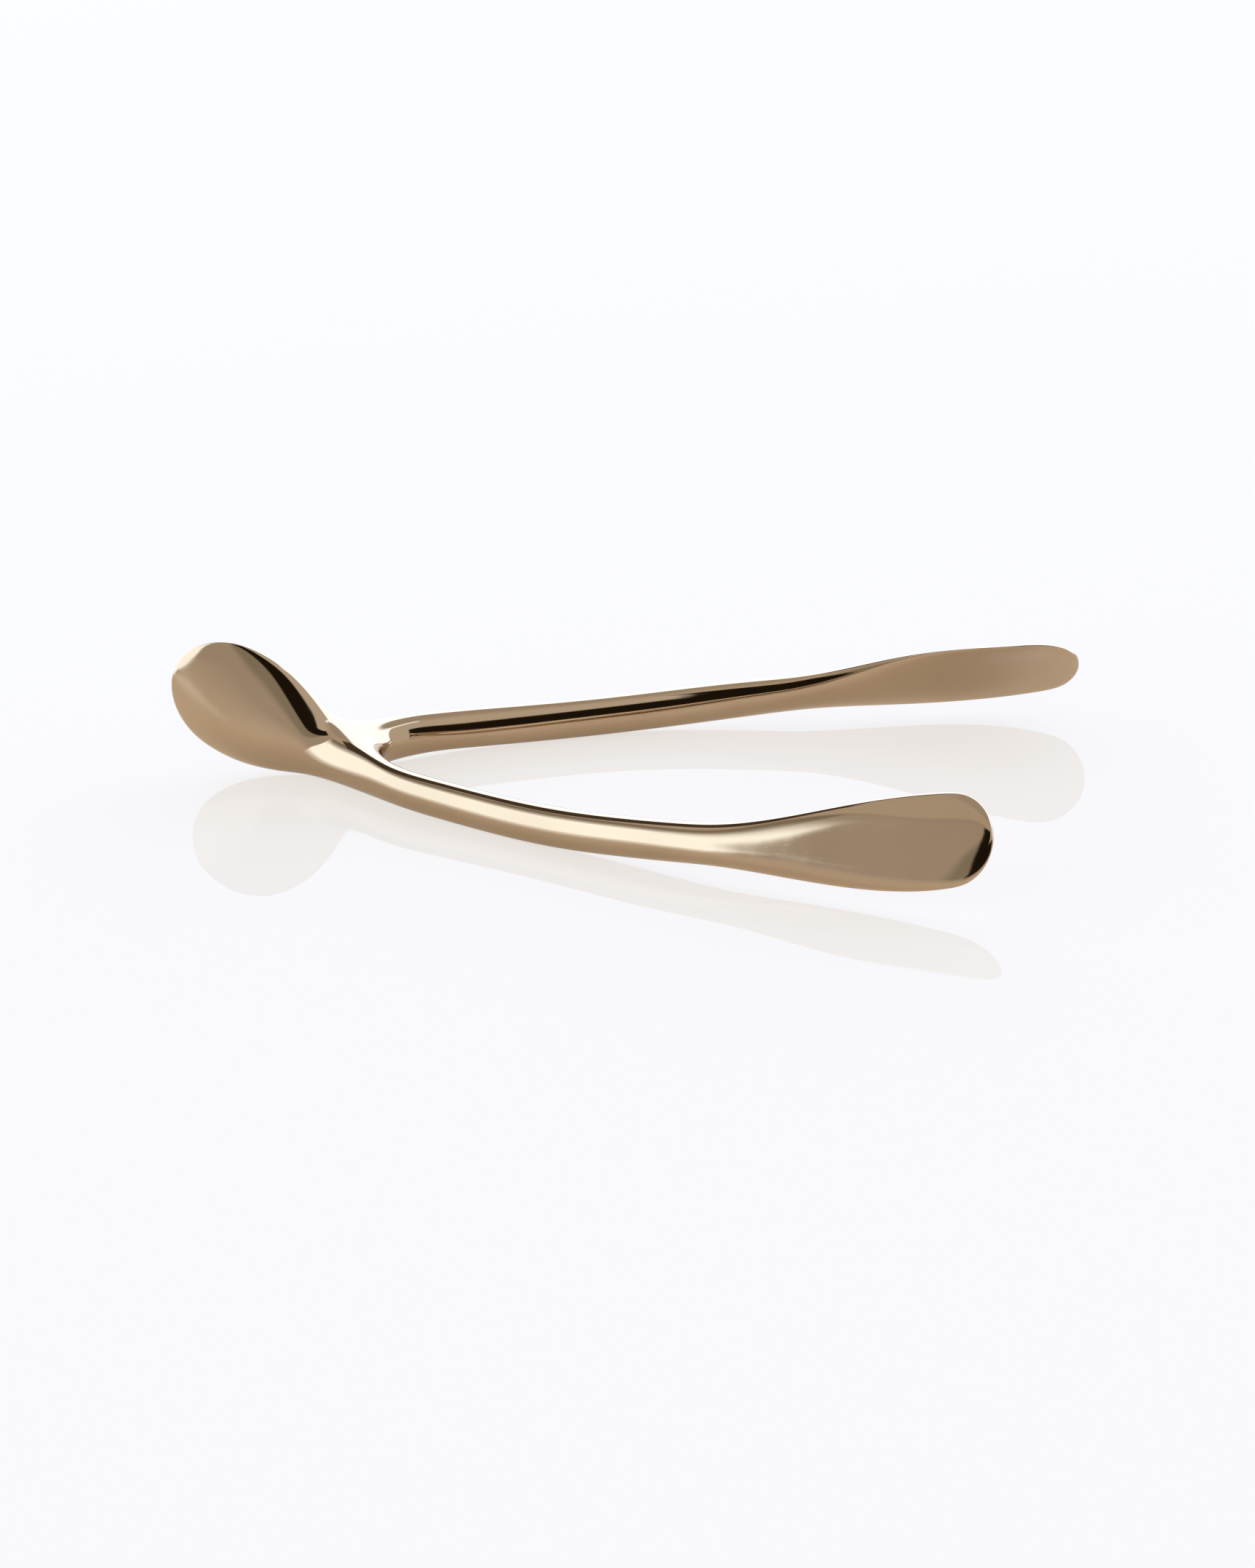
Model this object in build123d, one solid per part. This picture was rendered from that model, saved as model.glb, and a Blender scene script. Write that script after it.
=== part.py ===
from build123d import *
import os
from math import cos, pi, radians, sin

# Wishbone ice tongs in polished rose bronze, millimetres.
# +X runs from the handle leaf to the scoops, +Z is up, and Y = 0 is the plane of symmetry.
# The tongs lie on Z = 0 as they do on a bar. The origin is under the middle of their box.

# ---- driving dimensions -------------------------------------------------------------

TOTAL_LENGTH = 165.5            # leaf tip to scoop tips
LEAF_OVERHANG = 33.7            # along X, from the neck's centre to the leaf's tip
NECK_HEIGHT = 4.627             # the neck's centre above the table

# Centreline of the left limb, from the leaf's root through the neck to the scoop's tip,
# measured from the neck's centre: along X, out in Y, up in Z.
LIMB_ROUTE = [
    (-5.0, 0.0, 2.8),
    (-1.0, 0.6, 1.6),
    (2.5, 2.9, 0.8),
    (8.0, 8.2, 0.1),
    (14.0, 11.8, -0.25),
    (26.0, 16.4, -0.6),
    (45.0, 23.0, -0.7),
    (68.0, 29.0, 0.7),
    (90.0, 33.0, 2.5),
    (110.0, 35.5, 5.2),
    (131.8, 35.8, 8.7),
]
NECK_HALF_HEIGHT = 4.7          # at the neck's centre, tapering to the arms
NECK_TAPER = 14.0
ARM_HALF_HEIGHT = 3.8
ARM_HALF_THICKNESS = 2.6        # across the bend, so the arm flexes sideways
INNER_LEAN = 0.26               # how much more the arms' inner faces bulge low down than high up
LEAN_START = 6.0
LEAN_IN = 14.0
LEAN_FADE = 50.0
LEAN_OUT = 30.0

FLARE_START = 76.0              # X where the arm starts to widen into the scoop
FLARE_LENGTH = 44.0
THINNING_START = 68.0           # X where it starts to flatten
THINNING_LENGTH = 46.0
SCOOP_HALF_WIDTH = 8.6
SCOOP_HALF_THICKNESS = 1.15
TILTS = [(9.0, 12.0, 35.0), (11.0, 60.0, 22.0), (16.0, 92.0, 34.0)]
# The top edges lean in towards each other in three turns: degrees, start in X, length.
SCOOP_CUP = 1.4                 # how far the scoop's long edges stand in from its middle
SCOOP_END = 8.4                 # length of the rounded end
SCOOP_END_THINNING = 15.0       # length over which the tip thins

LEAF_ROOT = (-0.6, 0.0, -1.1)   # where the leaf's axis meets the neck
LEAF_LENGTH = 36.3              # along its own axis
LEAF_RISE = 28.8                # the axis climbs away from the neck, degrees
LEAF_ROOT_HALF_WIDTH = 3.2
LEAF_HALF_WIDTH = 11.9
LEAF_FLARE = 22.0               # length over which the leaf reaches its full width
LEAF_ROOT_HALF_THICKNESS = 4.8
LEAF_TIP_HALF_THICKNESS = 0.6
LEAF_THINNING = 1.3             # 1 thins evenly along the leaf, more than 1 mostly near its tip
LEAF_LEAN = 0.5                 # how much more it bulges low down than high up
LEAF_LEAN_START = 4.0           # along the leaf
LEAF_LEAN_LENGTH = 20.0
LEAF_END = 13.0                 # length of the rounded end

WEB_X = 3.2                     # middle of the web that rounds the crotch
WEB_RADII = (4.6, 4.0, 3.5)     # its half-sizes along X, Y and Z

FLEX_X = 14.0                   # where each arm bends, on the limb's centreline
KNUCKLE_RADIUS = 2.5            # the arm's round root, about the flex axis
KNUCKLE_GAP = 0.06              # its running clearance in the neck's seat
LIP_SETBACK = 0.95              # the seat's lips stop this far behind the flex axis

LEAF_JOINT = 9.0                # brazed joint of leaf and neck, along the leaf's axis
SCOOP_JOINT_X = 84.0            # brazed joint of arm and scoop
TENON_RADIUS = 1.2
TENON_LENGTH = 6.0
BRAZE_GAP = 0.04                # room for the solder round each tenon
END_GAP = 0.3                   # and past its end

HALF_POINTS = 8                 # spans in each half of an outline
END_TURNS = (86, 66, 48, 32, 18, 8)     # sections round an end, in degrees from its tip
CUT = 400.0                     # a box this size clears the whole object

# ---- helpers ------------------------------------------------------------------------


def ease(value, start, length):
    """Smooth step from 0 at start to 1 at start + length."""
    t = min(max((value - start) / length, 0.0), 1.0)
    return t * t * (3.0 - 2.0 * t)


def round_end(distance, length):
    """Width left at a distance from a rounded tip, as a share of the full width."""
    t = min(max(distance / length, 0.0), 1.0)
    return (1.0 - (1.0 - t) ** 2) ** 0.5


def end_stations(tip, length):
    """Places for the sections of a rounded end, closer together towards the tip."""
    return [tip - length * (1.0 - cos(radians(turn))) for turn in END_TURNS]


def outline(centre, up, out, half_width, half_thickness, cup=0.0, leans=(0.0, 0.0)):
    """Closed outline of a section: an outer and an inner curve, edges bent in by the cup."""
    halves = []
    for side, lean in zip((1.0, -1.0), leans):
        points = []
        for i in range(HALF_POINTS + 1):
            angle = pi * i / HALF_POINTS
            across = half_width * cos(angle) * side
            bulge = sin(angle) * (1.0 - lean * cos(angle) * side)
            bow = cup * (0.25 - (across / SCOOP_HALF_WIDTH) ** 2)
            points.append(centre + up * across + out * (half_thickness * bulge * side + bow))
        halves.append(Spline(*points, tangents=[out * side, out * -side]))
    return make_face(halves)


def beyond(origin, direction):
    """Everything on the side of the origin that the direction points to."""
    plane = Plane(origin=origin, z_dir=direction)
    return plane * Box(CUT, CUT, CUT, align=(Align.CENTER, Align.CENTER, Align.MIN))


def tenon(origin, direction, radius, length):
    """Round tenon standing on a joint's plane."""
    plane = Plane(origin=origin, z_dir=direction)
    return plane * Cylinder(radius, length, align=(Align.CENTER, Align.CENTER, Align.MIN))


# ---- limb: one swept shape, later cut into yoke, arm and scoop -------------------------

limb_line = Spline(*LIMB_ROUTE, tangents=[(1, 0, -0.3), (1, 0, 0.16)])
LIMB_TIP = LIMB_ROUTE[-1][0]


def limb_frame(x):
    """Point and direction of the limb's centreline at X."""
    low = 0.0
    high = 1.0
    for _ in range(40):
        middle = (low + high) / 2.0
        if (limb_line @ middle).X < x:
            low = middle
        else:
            high = middle
    return limb_line @ low, (limb_line % low).normalized()


def limb_section(x):
    """Outline of the limb at X: an upright oval that turns into a tilted, cupped blade."""
    centre, along = limb_frame(x)
    up = (Vector(0, 0, 1) - along * along.Z).normalized()
    out = up.cross(along)
    tilt = radians(sum(turn * ease(x, start, length) for turn, start, length in TILTS))
    lean = INNER_LEAN * ease(x, LEAN_START, LEAN_IN) * (1.0 - ease(x, LEAN_FADE, LEAN_OUT))
    tilted_up = up * cos(tilt) - out * sin(tilt)
    tilted_out = out * cos(tilt) + up * sin(tilt)
    taper = ease(x, 0.0, NECK_TAPER)
    flare = ease(x, FLARE_START, FLARE_LENGTH)
    thinning = ease(x, THINNING_START, THINNING_LENGTH)
    end = round_end(LIMB_TIP - x, SCOOP_END)
    half_width = NECK_HALF_HEIGHT + (ARM_HALF_HEIGHT - NECK_HALF_HEIGHT) * taper
    half_width += (SCOOP_HALF_WIDTH - ARM_HALF_HEIGHT) * flare
    half_thickness = ARM_HALF_THICKNESS + (SCOOP_HALF_THICKNESS - ARM_HALF_THICKNESS) * thinning
    half_thickness *= 0.35 + 0.65 * round_end(LIMB_TIP - x, SCOOP_END_THINNING)
    half_width *= end
    leans = (0.0, lean)
    return outline(centre, tilted_up, tilted_out, half_width, half_thickness, SCOOP_CUP * flare, leans)


limb_stations = [-3.5, -0.5, 2.5, 6.0, 10.0, 14.0, 20.0, 32.0, 46.0, 60.0]
limb_stations += [70.0, 78.0, 86.0, 94.0, 102.0, 111.0] + end_stations(LIMB_TIP, SCOOP_END)
limb = loft([limb_section(x) for x in limb_stations])

# ---- leaf: the handle's own blade, standing in the plane of symmetry -------------------

leaf_root = Vector(*LEAF_ROOT)
leaf_along = Vector(-cos(radians(LEAF_RISE)), 0, sin(radians(LEAF_RISE)))
leaf_up = Vector(sin(radians(LEAF_RISE)), 0, cos(radians(LEAF_RISE)))


def leaf_section(s):
    """Outline of the leaf at a distance along its axis."""
    flare = sin(pi / 2 * min(max(s / LEAF_FLARE, 0.0), 1.0))
    end = round_end(LEAF_LENGTH - s, LEAF_END)
    half_width = LEAF_ROOT_HALF_WIDTH + (LEAF_HALF_WIDTH - LEAF_ROOT_HALF_WIDTH) * flare
    thinning = (max(s, 0.0) / LEAF_LENGTH) ** LEAF_THINNING
    half_thickness = LEAF_ROOT_HALF_THICKNESS
    half_thickness += (LEAF_TIP_HALF_THICKNESS - LEAF_ROOT_HALF_THICKNESS) * thinning
    lean = LEAF_LEAN * ease(s, LEAF_LEAN_START, LEAF_LEAN_LENGTH)
    centre = leaf_root + leaf_along * s
    return outline(centre, leaf_up, Vector(0, 1, 0), half_width * end, half_thickness, 0.0, (lean, lean))


leaf_stations = [-1.5, 2.0, 5.5, 9.0, 13.0, 18.0] + end_stations(LEAF_LENGTH, LEAF_END)
leaf = loft([leaf_section(s) for s in leaf_stations])

# ---- handle leaf and neck --------------------------------------------------------------

flex_point, flex_along = limb_frame(FLEX_X)
flex_flat = Vector(flex_along.X, flex_along.Y, 0).normalized()
flex_axis = Plane(origin=(flex_point.X, flex_point.Y, 0))


def knuckle(radius):
    """Round bar about the left arm's flex axis."""
    return flex_axis * Cylinder(radius, CUT / 4)


yoke = limb - beyond(flex_point - flex_flat * LIP_SETBACK, flex_flat)
yoke -= knuckle(KNUCKLE_RADIUS + KNUCKLE_GAP)
web = Pos(WEB_X, 0, 0) * scale(Sphere(1.0), WEB_RADII)
handle = leaf + yoke + mirror(yoke, about=Plane.XZ) + web

leaf_joint = leaf_root + leaf_along * LEAF_JOINT
blade_side = beyond(leaf_joint, leaf_along)
handle_leaf = (handle & blade_side) + tenon(leaf_joint, -leaf_along, TENON_RADIUS, TENON_LENGTH)
neck = handle - blade_side
neck -= tenon(leaf_joint, -leaf_along, TENON_RADIUS + BRAZE_GAP, TENON_LENGTH + END_GAP)

# ---- arm and scoop ---------------------------------------------------------------------

scoop_joint, scoop_along = limb_frame(SCOOP_JOINT_X)
scoop_side = beyond(scoop_joint, scoop_along)
free_limb = (limb & beyond(flex_point, flex_flat)) + (limb & knuckle(KNUCKLE_RADIUS))
arm = free_limb - scoop_side
arm -= tenon(scoop_joint, -scoop_along, TENON_RADIUS + BRAZE_GAP, TENON_LENGTH + END_GAP)
scoop = (free_limb & scoop_side) + tenon(scoop_joint, -scoop_along, TENON_RADIUS, TENON_LENGTH)

# ---- nodes -----------------------------------------------------------------------------

nodes = {
    "handle_leaf": handle_leaf,
    "neck": neck,
    "left_arm": arm,
    "left_scoop": scoop,
    "right_arm": mirror(arm, about=Plane.XZ),
    "right_scoop": mirror(scoop, about=Plane.XZ),
}
to_origin = Pos(LEAF_OVERHANG - TOTAL_LENGTH / 2, 0, NECK_HEIGHT)

os.makedirs("parts", exist_ok=True)
for name, solid in nodes.items():
    placed = to_origin * solid
    box = placed.bounding_box()
    print(name, placed.is_valid, len(placed.solids()), round(placed.volume, 1), box.min, box.max)
    export_step(placed, "parts/" + name + ".step")
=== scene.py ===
from math import cos, pi, radians, sin, sqrt

import bmesh
import bpy
import numpy as np
from mathutils import Matrix, Vector


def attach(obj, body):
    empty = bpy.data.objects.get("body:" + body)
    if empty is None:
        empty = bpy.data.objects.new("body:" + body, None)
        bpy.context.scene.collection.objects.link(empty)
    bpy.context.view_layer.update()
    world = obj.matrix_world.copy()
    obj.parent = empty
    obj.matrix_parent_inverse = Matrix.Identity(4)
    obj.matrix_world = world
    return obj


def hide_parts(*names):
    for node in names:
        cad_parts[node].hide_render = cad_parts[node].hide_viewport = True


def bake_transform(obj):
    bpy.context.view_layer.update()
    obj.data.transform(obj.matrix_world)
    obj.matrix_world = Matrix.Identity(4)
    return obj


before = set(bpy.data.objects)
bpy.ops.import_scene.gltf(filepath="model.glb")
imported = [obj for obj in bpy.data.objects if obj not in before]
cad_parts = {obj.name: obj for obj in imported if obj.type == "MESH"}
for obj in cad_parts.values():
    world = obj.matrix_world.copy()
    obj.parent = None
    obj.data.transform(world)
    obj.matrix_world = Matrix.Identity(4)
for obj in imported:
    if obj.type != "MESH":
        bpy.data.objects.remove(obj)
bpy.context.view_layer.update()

MM = 0.001

# ---- shape of the metal, in millimetres from the neck's centre --------------------------

LIMB_ROUTE = [
    (-5.0, 0.0, 2.8),
    (-1.0, 0.6, 1.6),
    (2.5, 2.9, 0.8),
    (8.0, 8.2, 0.1),
    (14.0, 11.8, -0.25),
    (26.0, 16.4, -0.6),
    (45.0, 23.0, -0.7),
    (68.0, 29.0, 0.7),
    (90.0, 33.0, 2.5),
    (110.0, 35.5, 5.2),
    (131.8, 35.8, 8.7),
]
NECK_HALF_HEIGHT = 4.7
NECK_TAPER = 14.0
ARM_HALF_HEIGHT = 3.8
ARM_HALF_THICKNESS = 2.6
FLARE_START = 76.0
FLARE_LENGTH = 44.0
THINNING_START = 68.0
THINNING_LENGTH = 46.0
SCOOP_HALF_WIDTH = 8.6
SCOOP_HALF_THICKNESS = 1.15
TILTS = [(9.0, 12.0, 35.0), (11.0, 60.0, 22.0), (16.0, 92.0, 34.0)]     # degrees, start, length
INNER_LEAN = 0.26               # how much more the inner face bulges low down than high up
LEAN_START = 6.0
LEAN_IN = 14.0
LEAN_FADE = 50.0
LEAN_OUT = 30.0
SCOOP_CUP = 1.4
SCOOP_END = 8.4
SCOOP_END_THINNING = 15.0
LEAF_ROOT = Vector((-0.6, 0.0, -1.1))
LEAF_LENGTH = 36.3
LEAF_RISE = 28.8
LEAF_ROOT_HALF_WIDTH = 3.2
LEAF_HALF_WIDTH = 11.9
LEAF_FLARE = 22.0
LEAF_ROOT_HALF_THICKNESS = 4.8
LEAF_TIP_HALF_THICKNESS = 0.6
LEAF_THINNING = 1.3             # 1 thins evenly along the leaf, more than 1 mostly near its tip
LEAF_LEAN = 0.5                 # how much more it bulges low down than high up
LEAF_LEAN_START = 4.0
LEAF_LEAN_LENGTH = 20.0
LEAF_END = 13.0
NECK_CENTRE = Vector((-49.05, 0.0, 4.627))      # in the row frame

LEAF_JOINT = 9.0                # where leaf and neck meet, along the leaf
FLEX_X = 14.0                   # where neck and arm meet
BEND = (14.6, 28.0)             # the stretch of arm where the real tongs flex; only its end points are worked out
SCOOP_JOINT_X = 84.0            # where arm and scoop meet
END_TURNS = (80, 62, 45, 30, 18, 9)
SIDES = 12                      # corners of each ring of the control cage
SHRINK = (4.0 + 2.0 * cos(2.0 * pi / SIDES)) / 6.0      # what subdivision takes off a ring
LEVELS = 3

PIECES = ["handle_leaf", "neck", "left_arm", "left_scoop", "right_arm", "right_scoop"]


def ease(value, start, length):
    """Smooth step from 0 at start to 1 at start + length."""
    t = min(max((value - start) / length, 0.0), 1.0)
    return t * t * (3.0 - 2.0 * t)


def round_end(distance, length):
    """Width left at a distance from a rounded tip, as a share of the full width."""
    t = min(max(distance / length, 0.0), 1.0)
    return sqrt(1.0 - (1.0 - t) ** 2)


def end_stations(tip, length):
    """Places for the rings of a rounded end, closer together towards the tip."""
    return [tip - length * (1.0 - cos(radians(turn))) for turn in END_TURNS]


class SmoothPath:
    """Natural cubic spline y(x), z(x) through route points."""

    def __init__(self, points):
        self.x, y, z = (np.array(column) for column in zip(*points))
        self.curves = [(values, self.bends(values)) for values in (y, z)]

    def bends(self, values):
        """Second derivatives at the route points."""
        n = len(self.x)
        gaps = np.diff(self.x)
        matrix = np.eye(n)
        right = np.zeros(n)
        slopes = np.diff(values) / gaps
        for i in range(1, n - 1):
            matrix[i, i - 1:i + 2] = (gaps[i - 1], 2.0 * (gaps[i - 1] + gaps[i]), gaps[i])
            right[i] = 6.0 * (slopes[i] - slopes[i - 1])
        return np.linalg.solve(matrix, right)

    def point(self, x):
        i = int(np.clip(np.searchsorted(self.x, x) - 1, 0, len(self.x) - 2))
        gap = self.x[i + 1] - self.x[i]
        a = (self.x[i + 1] - x) / gap
        b = 1.0 - a
        place = [x]
        for values, bends in self.curves:
            curve = ((a ** 3 - a) * bends[i] + (b ** 3 - b) * bends[i + 1]) * gap ** 2 / 6.0
            place.append(a * values[i] + b * values[i + 1] + curve)
        return Vector(place)

    def frame(self, x):
        """Point and direction at x."""
        step = 0.05
        return self.point(x), (self.point(x + step) - self.point(x - step)).normalized()


limb_path = SmoothPath(LIMB_ROUTE)
LIMB_TIP = LIMB_ROUTE[-1][0]


def ring(centre, up, out, half_width, half_thickness, cup=0.0, leans=(0.0, 0.0)):
    """Control points round one section, first the top, then the outer side."""
    points = []
    for i in range(SIDES):
        angle = 2.0 * pi * i / SIDES
        across = half_width * cos(angle) / SHRINK
        through = half_thickness * sin(angle) / SHRINK
        through *= 1.0 - leans[sin(angle) < 0.0] * cos(angle)
        bow = cup * (0.25 - (across / SCOOP_HALF_WIDTH) ** 2)
        points.append(centre + up * across + out * (through + bow))
    return points


def limb_ring(x):
    """Control points of the limb at x: an upright oval that turns into a tilted, cupped blade."""
    centre, along = limb_path.frame(x)
    up = (Vector((0, 0, 1)) - along * along.z).normalized()
    out = up.cross(along)
    tilt = radians(sum(turn * ease(x, start, length) for turn, start, length in TILTS))
    lean = INNER_LEAN * ease(x, LEAN_START, LEAN_IN) * (1.0 - ease(x, LEAN_FADE, LEAN_OUT))
    tilted_up = up * cos(tilt) - out * sin(tilt)
    tilted_out = out * cos(tilt) + up * sin(tilt)
    flare = ease(x, FLARE_START, FLARE_LENGTH)
    thinning = ease(x, THINNING_START, THINNING_LENGTH)
    end = round_end(LIMB_TIP - x, SCOOP_END)
    narrowing = ease(x, 0.0, NECK_TAPER)
    half_width = NECK_HALF_HEIGHT + (ARM_HALF_HEIGHT - NECK_HALF_HEIGHT) * narrowing
    half_width += (SCOOP_HALF_WIDTH - ARM_HALF_HEIGHT) * flare
    half_thickness = ARM_HALF_THICKNESS + (SCOOP_HALF_THICKNESS - ARM_HALF_THICKNESS) * thinning
    half_thickness *= 0.35 + 0.65 * round_end(LIMB_TIP - x, SCOOP_END_THINNING)
    half_width *= end
    cup = SCOOP_CUP * flare
    return ring(centre, tilted_up, tilted_out, half_width, half_thickness, cup, (0.0, lean))


leaf_along = Vector((-cos(radians(LEAF_RISE)), 0, sin(radians(LEAF_RISE))))
leaf_up = Vector((sin(radians(LEAF_RISE)), 0, cos(radians(LEAF_RISE))))


def leaf_ring(s):
    """Control points of the leaf at a distance along its axis."""
    flare = sin(pi / 2 * min(max(s / LEAF_FLARE, 0.0), 1.0))
    end = round_end(LEAF_LENGTH - s, LEAF_END)
    half_width = LEAF_ROOT_HALF_WIDTH + (LEAF_HALF_WIDTH - LEAF_ROOT_HALF_WIDTH) * flare
    thinning = (max(s, 0.0) / LEAF_LENGTH) ** LEAF_THINNING
    half_thickness = LEAF_ROOT_HALF_THICKNESS
    half_thickness += (LEAF_TIP_HALF_THICKNESS - LEAF_ROOT_HALF_THICKNESS) * thinning
    lean = LEAF_LEAN * ease(s, LEAF_LEAN_START, LEAF_LEAN_LENGTH)
    centre = LEAF_ROOT + leaf_along * s
    half_width *= end
    return ring(centre, leaf_up, Vector((0, 1, 0)), half_width, half_thickness, 0.0, (lean, lean))


# ---- control cage: left half, mirrored ---------------------------------------------------

LEAF_STATIONS = [3.5, LEAF_JOINT, 15.0, 20.0] + end_stations(LEAF_LENGTH, LEAF_END)
LIMB_STATIONS = [9.0, FLEX_X, 19.0, 25.0, 32.0, 40.0, 48.0, 56.0, 64.0, 70.0, 76.0, 80.0]
LIMB_STATIONS += [SCOOP_JOINT_X, 88.0, 93.0, 98.0, 104.0, 110.0, 116.0, 120.0]
LIMB_STATIONS += end_stations(LIMB_TIP, SCOOP_END)
CROTCH_CENTRE = (0.3, 0.6)      # X and Z of the middle of the crotch's rounded edge
CROTCH_RADII = (5.8, 4.6)
HALF = SIDES // 2


def build_cage():
    """Quads of the left half; each face's material index says which piece it belongs to."""
    cage = bmesh.new()

    def put(point):
        return cage.verts.new((point + NECK_CENTRE) * MM)

    def face(corners, piece):
        made = cage.faces.new(corners)
        made.material_index = PIECES.index(piece)
        made.smooth = True

    leaf_rings = [[put(p) for p in leaf_ring(s)[:HALF + 1]] for s in LEAF_STATIONS]
    limb_rings = [[put(p) for p in limb_ring(x)] for x in LIMB_STATIONS]
    for s, here, there in zip(LEAF_STATIONS, leaf_rings, leaf_rings[1:]):
        piece = "neck" if s < LEAF_JOINT else "handle_leaf"
        for i in range(HALF):
            face((here[i], here[i + 1], there[i + 1], there[i]), piece)
    for x, here, there in zip(LIMB_STATIONS, limb_rings, limb_rings[1:]):
        piece = "neck" if x < FLEX_X else "left_arm" if x < SCOOP_JOINT_X else "left_scoop"
        for i in range(SIDES):
            j = (i + 1) % SIDES
            face((here[i], there[i], there[j], here[j]), piece)

    # fork: the limb's outer side meets the leaf, its inner side meets the crotch's edge
    root = leaf_rings[0]
    arm = limb_rings[0]
    crotch = [root[0]]
    for i in range(1, HALF):
        angle = pi / 2 - pi * i / HALF
        x = CROTCH_CENTRE[0] + CROTCH_RADII[0] * cos(angle)
        z = CROTCH_CENTRE[1] + CROTCH_RADII[1] * sin(angle)
        crotch.append(put(Vector((x, 0.0, z))))
    crotch.append(root[HALF])
    for i in range(HALF):
        face((root[i], arm[i], arm[i + 1], root[i + 1]), "neck")
        face((arm[-i % SIDES], crotch[i], crotch[i + 1], arm[-(i + 1)]), "neck")

    # rounded ends
    for rings, tip, whole, piece in (
        (leaf_rings, leaf_ring(LEAF_LENGTH), False, "handle_leaf"),
        (limb_rings, limb_ring(LIMB_TIP), True, "left_scoop"),
    ):
        last = rings[-1]
        middle_top = (last[0].co + last[HALF].co) / 2
        spine = []
        for i in (2, 3, 4):
            near = last[i].co
            far = last[SIDES - i].co if whole else Vector((near.x, -near.y, near.z))
            outward = (tip[0] + NECK_CENTRE) * MM - middle_top
            spine.append(cage.verts.new((near + far) / 2 + outward))
        walk = [last[0]] + spine + [last[HALF]]
        for i in range(4):
            if i == 0:
                face((walk[0], last[1], last[2], walk[1]), piece)
                if whole:
                    face((walk[0], walk[1], last[10], last[11]), piece)
            elif i == 3:
                face((walk[3], last[4], last[5], walk[4]), piece)
                if whole:
                    face((walk[3], walk[4], last[7], last[8]), piece)
            else:
                face((walk[i], last[i + 1], last[i + 2], walk[i + 1]), piece)
                if whole:
                    face((walk[i], walk[i + 1], last[SIDES - i - 2], last[SIDES - i - 1]), piece)
    for vert in cage.verts:
        if abs(vert.co.y) < 1e-6:
            vert.co.y = 0.0
    bmesh.ops.recalc_face_normals(cage, faces=cage.faces)
    mesh = bpy.data.meshes.new("cage")
    cage.to_mesh(mesh)
    cage.free()
    return mesh


def whole_surface():
    """The cage mirrored and subdivided into one smooth skin."""
    obj = bpy.data.objects.new("cage", build_cage())
    bpy.context.scene.collection.objects.link(obj)
    for name in PIECES:
        obj.data.materials.append(None)
    mirror = obj.modifiers.new("mirror", "MIRROR")
    mirror.use_axis = (False, True, False)
    mirror.use_clip = True
    mirror.merge_threshold = 1e-6
    smooth = obj.modifiers.new("smooth", "SUBSURF")
    smooth.levels = LEVELS
    smooth.render_levels = LEVELS
    depsgraph = bpy.context.evaluated_depsgraph_get()
    mesh = bpy.data.meshes.new_from_object(obj.evaluated_get(depsgraph))
    bpy.data.objects.remove(obj)
    return mesh


# ---- six closed skins cut from the one surface -------------------------------------------

def owner(polygon):
    """Name of the piece that a face of the whole surface belongs to."""
    name = PIECES[polygon.material_index]
    return name.replace("left", "right") if polygon.center.y < 0.0 else name


def edge_loops(faces):
    """Ordered rings of the edges that only one face uses, walked against their faces."""
    used = set()
    for corners in faces:
        for a, b in zip(corners, corners[1:] + corners[:1]):
            if (b, a) in used:
                used.remove((b, a))
            else:
                used.add((a, b))
    after = {b: a for a, b in used}
    loops = []
    while after:
        first, here = after.popitem()
        loop = [first]
        while here != first:
            loop.append(here)
            here = after.pop(here)
        loops.append(loop)
    return loops


def cut_skins(surface):
    """A closed mesh object for each piece, shaded with the normals of the whole surface."""
    places = [vert.co.copy() for vert in surface.vertices]
    normals = [Vector(normal.vector) for normal in surface.vertex_normals]
    groups = {name: [] for name in PIECES}
    for polygon in surface.polygons:
        groups[owner(polygon)].append(list(polygon.vertices))
    skins = {}
    for name, faces in groups.items():
        numbers = {}
        for corners in faces:
            for v in corners:
                numbers.setdefault(v, len(numbers))
        points = [places[v] for v in numbers]
        shading = [normals[v] for corners in faces for v in corners]
        built = [[numbers[v] for v in corners] for corners in faces]
        for loop in edge_loops(faces):
            middle = sum((places[v] for v in loop), Vector()) / len(loop)
            points.append(middle)
            for a, b in zip(loop, loop[1:] + loop[:1]):
                facing = (places[a] - middle).cross(places[b] - middle).normalized()
                built.append([len(points) - 1, numbers[a], numbers[b]])
                shading += [facing] * 3
        mesh = bpy.data.meshes.new(name + "_skin")
        mesh.from_pydata(points, [], built)
        mesh.polygons.foreach_set("use_smooth", [True] * len(built))
        mesh.normals_split_custom_set(shading)
        mesh.update()
        skins[name] = bpy.data.objects.new(name + "_skin", mesh)
        bpy.context.scene.collection.objects.link(skins[name])
    return skins


# ---- node helpers -------------------------------------------------------------------------

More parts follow.
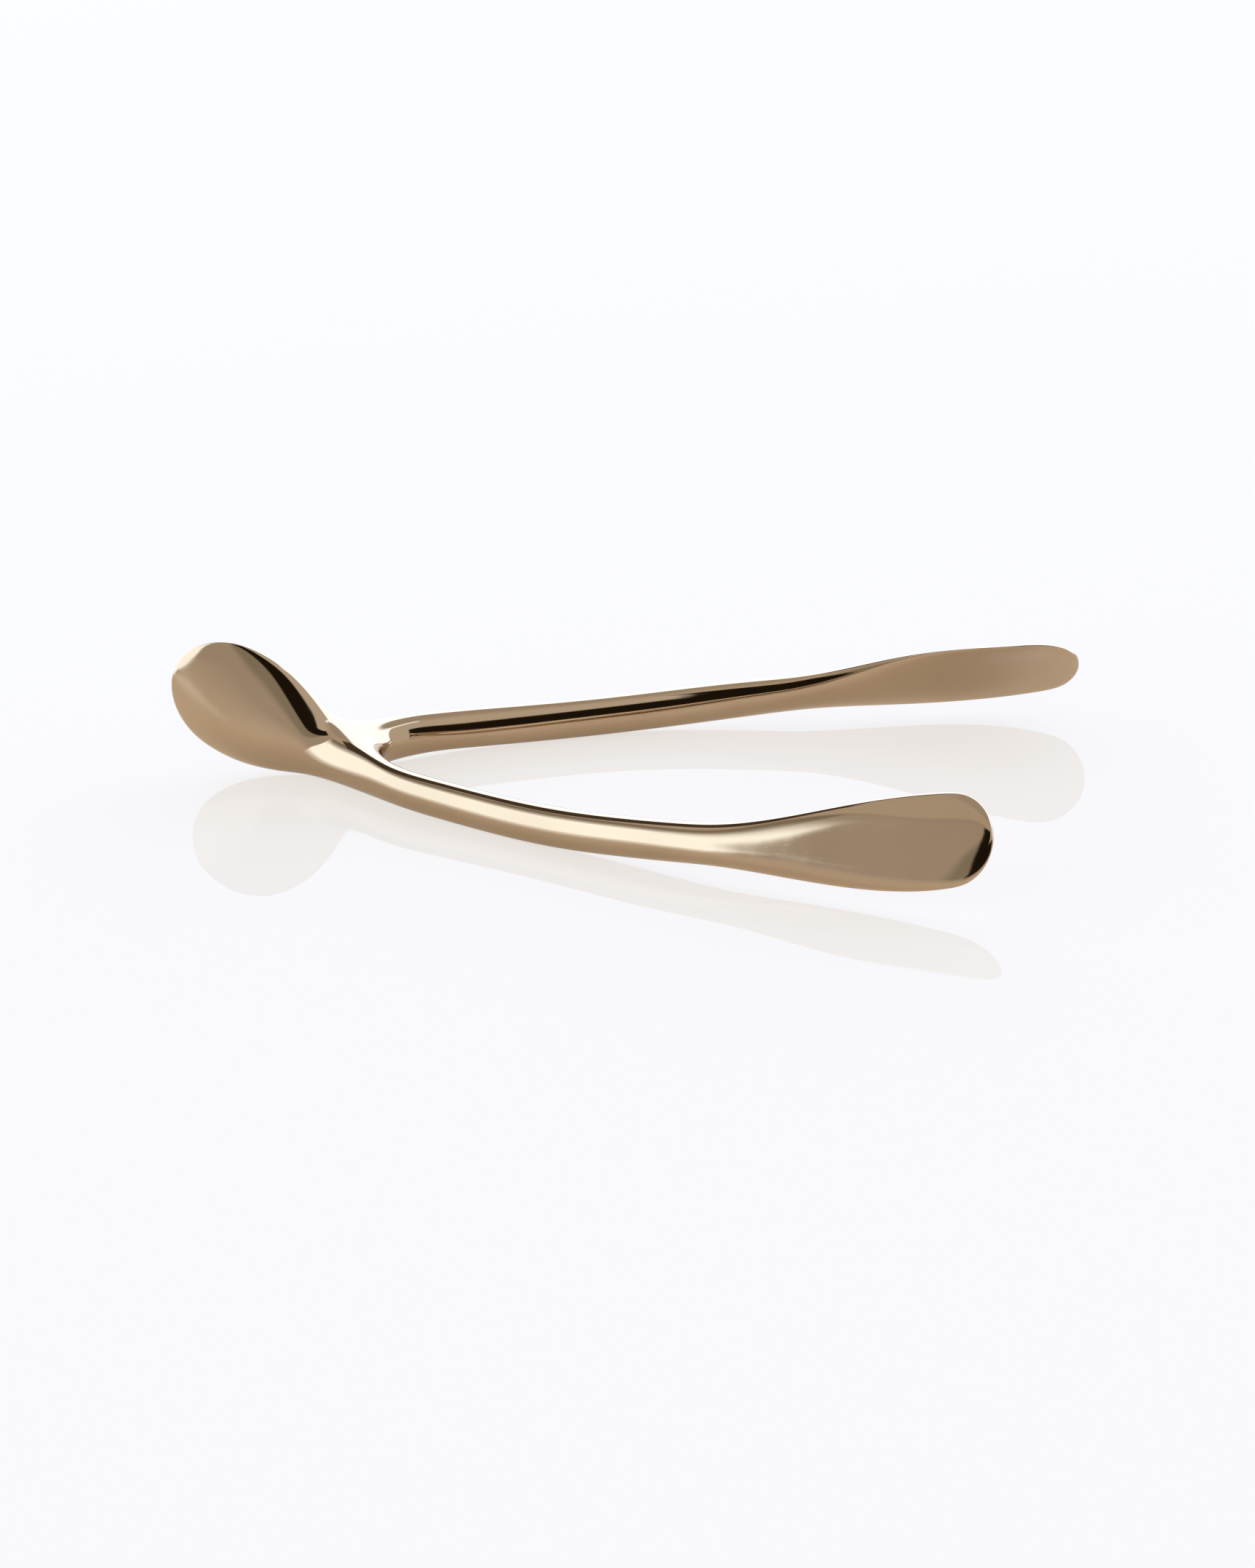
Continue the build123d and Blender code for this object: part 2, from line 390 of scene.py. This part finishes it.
class Nodes:
    """Short calls for building one node tree."""

    def __init__(self, tree):
        self.tree = tree
        tree.nodes.clear()

    def put(self, socket, value):
        """Link another node's output, or set a constant."""
        if isinstance(value, bpy.types.NodeSocket):
            self.tree.links.new(value, socket)
        else:
            socket.default_value = value

    def add(self, kind, inputs=None, **settings):
        node = self.tree.nodes.new(kind)
        for key, value in settings.items():
            setattr(node, key, value)
        for key, value in (inputs or {}).items():
            self.put(node.inputs[key], value)
        return node

    def math(self, operation, a, b=0.0, c=0.0):
        return self.add("ShaderNodeMath", {0: a, 1: b, 2: c}, operation=operation).outputs[0]

    def remap(self, value, low, high, to_low=0.0, to_high=1.0, smooth=True):
        kind = "SMOOTHSTEP" if smooth else "LINEAR"
        inputs = {"Value": value, "From Min": low, "From Max": high}
        inputs.update({"To Min": to_low, "To Max": to_high})
        return self.add("ShaderNodeMapRange", inputs, interpolation_type=kind).outputs["Result"]

    def mix(self, factor, a, b):
        inputs = {0: factor, 6: a, 7: b}
        return self.add("ShaderNodeMix", inputs, data_type="RGBA").outputs[2]

    def mix_value(self, factor, a, b):
        inputs = {0: factor, 2: a, 3: b}
        return self.add("ShaderNodeMix", inputs, data_type="FLOAT").outputs[0]


# ---- polished rose bronze -----------------------------------------------------------------

def rose_bronze():
    """Polished metal with slight changes of tone, haze, faint hairlines and waviness."""
    material = bpy.data.materials.new("rose_bronze_polished")
    material.use_nodes = True
    n = Nodes(material.node_tree)
    place = n.add("ShaderNodeTexCoord").outputs["Object"]

    def noise(scale, detail, stretch=(1.0, 1.0, 1.0)):
        spread = n.add("ShaderNodeMapping", {"Vector": place, "Scale": stretch}).outputs[0]
        inputs = {"Vector": spread, "Scale": scale, "Detail": detail}
        return n.add("ShaderNodeTexNoise", inputs, noise_dimensions="3D").outputs["Fac"]

    tone = n.remap(noise(45.0, 3.0), 0.35, 0.65)
    colour = n.mix(tone, (0.47, 0.345, 0.222, 1.0), (0.495, 0.367, 0.24, 1.0))
    haze = n.remap(noise(160.0, 5.0), 0.40, 0.75, 0.045, 0.085)
    hairlines = n.remap(noise(1.0, 2.0, (260.0, 5200.0, 3800.0)), 0.66, 0.72)
    roughness = n.math("ADD", haze, n.math("MULTIPLY", hairlines, 0.05))
    waves = noise(110.0, 2.0)
    grain = n.math("MULTIPLY", noise(2600.0, 2.0), 0.012)
    scratches = n.math("MULTIPLY", hairlines, 0.01)
    height = n.math("SUBTRACT", n.math("ADD", waves, grain), scratches)
    bump = n.add("ShaderNodeBump", {"Height": height, "Strength": 1.0, "Distance": 0.00002})
    inputs = {
        "Base Color": colour,
        "Metallic": 1.0,
        "Roughness": roughness,
        "Normal": bump.outputs[0],
    }
    shader = n.add("ShaderNodeBsdfPrincipled", inputs)
    n.add("ShaderNodeOutputMaterial", {"Surface": shader.outputs[0]})
    return material


# ---- table top, surroundings and camera -----------------------------------------------------

def table_top():
    """Glossy white table: one look for the camera, another for the metal that mirrors it."""
    material = bpy.data.materials.new("white_gloss")
    material.use_nodes = True
    n = Nodes(material.node_tree)
    seen = n.add("ShaderNodeLightPath").outputs["Is Camera Ray"]
    white = n.mix(seen, (0.56, 0.46, 0.36, 1.0), (0.16, 0.16, 0.16, 1.0))
    matt = n.add("ShaderNodeBsdfDiffuse", {"Color": white})
    light = n.mix(seen, (0.34, 0.33, 0.31, 1.0), (0.782, 0.742, 0.70, 1.0))
    glow = n.add("ShaderNodeEmission", {"Color": light})
    body = n.add("ShaderNodeAddShader", {0: matt.outputs[0], 1: glow.outputs[0]})
    polish = n.mix(seen, (1.0, 1.0, 1.0, 1.0), (0.48, 0.48, 0.48, 1.0))
    gloss = n.add("ShaderNodeBsdfGlossy", {"Color": polish, "Roughness": 0.02})
    sheen = n.add("ShaderNodeFresnel", {"IOR": 1.33}).outputs[0]
    sheen = n.mix_value(seen, n.remap(sheen, 0.15, 0.6, smooth=False), sheen)
    shader = n.add("ShaderNodeMixShader", {0: sheen, 1: body.outputs[0], 2: gloss.outputs[0]})
    n.add("ShaderNodeOutputMaterial", {"Surface": shader.outputs[0]})
    mesh = bpy.data.meshes.new("table_top")
    corners = [(-6.0, -6.0, 0.0), (6.0, -6.0, 0.0), (6.0, 6.0, 0.0), (-6.0, 6.0, 0.0)]
    mesh.from_pydata(corners, [], [(0, 1, 2, 3)])
    mesh.materials.append(material)
    top = bpy.data.objects.new("table_top", mesh)
    bpy.context.scene.collection.objects.link(top)


# Patches of the surroundings that the metal mirrors, later ones in front: azimuths and
# elevations of the edges in the room, how far the patch leans (azimuth per elevation), its soft
# edges (sides and bottom, then top) in degrees, and its light.
PANELS = [
    ((-215, -44), (44, 66), 0.0, (6, 6), (0.75, 0.71, 0.67)),       # edge of the ceiling
    ((-215, -125), (28, 48), 0.0, (4, 5), (0.38, 0.36, 0.33)),      # gap above the soft box
    ((-152, -122), (-20, 48), 0.0, (3, 4), (0.64, 0.61, 0.59)),     # wall
    ((-106, 0), (-20, 52), 0.0, (4, 6), (0.84, 0.83, 0.82)),        # wall behind the screens
    ((-124, -106), (-20, 46), 0.0, (4, 4), (0.42, 0.40, 0.37)),     # dim wall
    ((-213, -139), (-20, 31), -0.12, (2.5, 24), (2.05, 2.45, 3.0)),  # soft box
    ((-115, -96), (-20, 45), -0.3, (2.5, 3), (0.02, 0.015, 0.01)),  # tall screen
    ((-102, -36), (-20, 22), 0.0, (2.5, 5), (0.02, 0.015, 0.01)),   # low screen
    ((125, 172), (40, 60), 0.0, (3, 3), (0.10, 0.08, 0.06)),        # gap behind
]
BACKDROP = (2.2, 2.7, 3.7, 1.0)
CEILING = (0.62, 0.60, 0.58, 1.0)
# From directions in the room to directions in the scene, where the tongs lie straight and flat.
ROOM_TURN = Matrix((
    (0.9574, -0.2833, 0.0554),
    (0.2753, 0.9538, 0.1201),
    (-0.0869, -0.0998, 0.9912),
))


def surroundings():
    """A studio at a distance: a bright backdrop, a ceiling and the panels in front of them."""
    world = bpy.data.worlds.new("studio")
    bpy.context.scene.world = world
    world.use_nodes = True
    n = Nodes(world.node_tree)
    place = n.add("ShaderNodeTexCoord").outputs["Generated"]

    def towards(direction):
        inputs = {0: place, 1: ROOM_TURN @ Vector(direction)}
        return n.add("ShaderNodeVectorMath", inputs, operation="DOT_PRODUCT").outputs["Value"]

    elevation = n.math("ARCSINE", towards((0.0, 0.0, 1.0)))
    light = n.mix(n.remap(elevation, radians(52), radians(60)), BACKDROP, CEILING)
    for (left, right), (low, high), lean, (soft, fade), colour in PANELS:
        middle = radians((left + right) / 2)
        half = (right - left) / 2
        ahead = towards((cos(middle), sin(middle), 0.0))
        aside = towards((-sin(middle), cos(middle), 0.0))
        azimuth = n.math("ARCTAN2", aside, ahead)
        azimuth = n.math("MULTIPLY_ADD", elevation, -lean, azimuth)
        width = n.math("ABSOLUTE", azimuth)
        mask = n.remap(width, radians(half - soft / 2), radians(half + soft / 2), 1.0, 0.0)
        above = n.remap(elevation, radians(low - soft / 2), radians(low + soft / 2))
        below = n.remap(elevation, radians(high - fade / 2), radians(high + fade / 2), 1.0, 0.0)
        mask = n.math("MULTIPLY", mask, n.math("MULTIPLY", above, below))
        light = n.mix(mask, light, (*colour, 1.0))
    seen = n.add("ShaderNodeLightPath").outputs["Is Camera Ray"]
    light = n.mix(seen, light, (0.95, 0.95, 0.96, 1.0))
    shader = n.add("ShaderNodeBackground", {"Color": light, "Strength": 1.0})
    n.add("ShaderNodeOutputWorld", {"Surface": shader.outputs[0]})


def camera():
    """Long lens, about 20 degrees above the table and rolled a little."""
    data = bpy.data.cameras.new("camera")
    data.lens = 116.9
    data.sensor_width = 36.0
    made = bpy.data.objects.new("camera", data)
    made.location = (0.27239, -0.79914, 0.41291)
    made.rotation_euler = (radians(63.853), radians(4.985), radians(16.043))
    bpy.context.scene.collection.objects.link(made)
    bpy.context.scene.camera = made


# ---- assembly ---------------------------------------------------------------------------------

camera()
surroundings()
table_top()
bpy.context.scene.view_settings.view_transform = "Standard"

metal = rose_bronze()
skins = cut_skins(whole_surface())
for name, skin in skins.items():
    skin.data.materials.append(metal)
    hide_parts(name)
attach(skins["handle_leaf"], "handle")
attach(skins["neck"], "handle")
for side, sign in (("left", 1.0), ("right", -1.0)):
    start, end = ((limb_path.point(x) + NECK_CENTRE) * MM for x in BEND)
    start.y *= sign
    end.y *= sign
    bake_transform(skins[side + "_arm"])
    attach(skins[side + "_scoop"], side + "_limb")
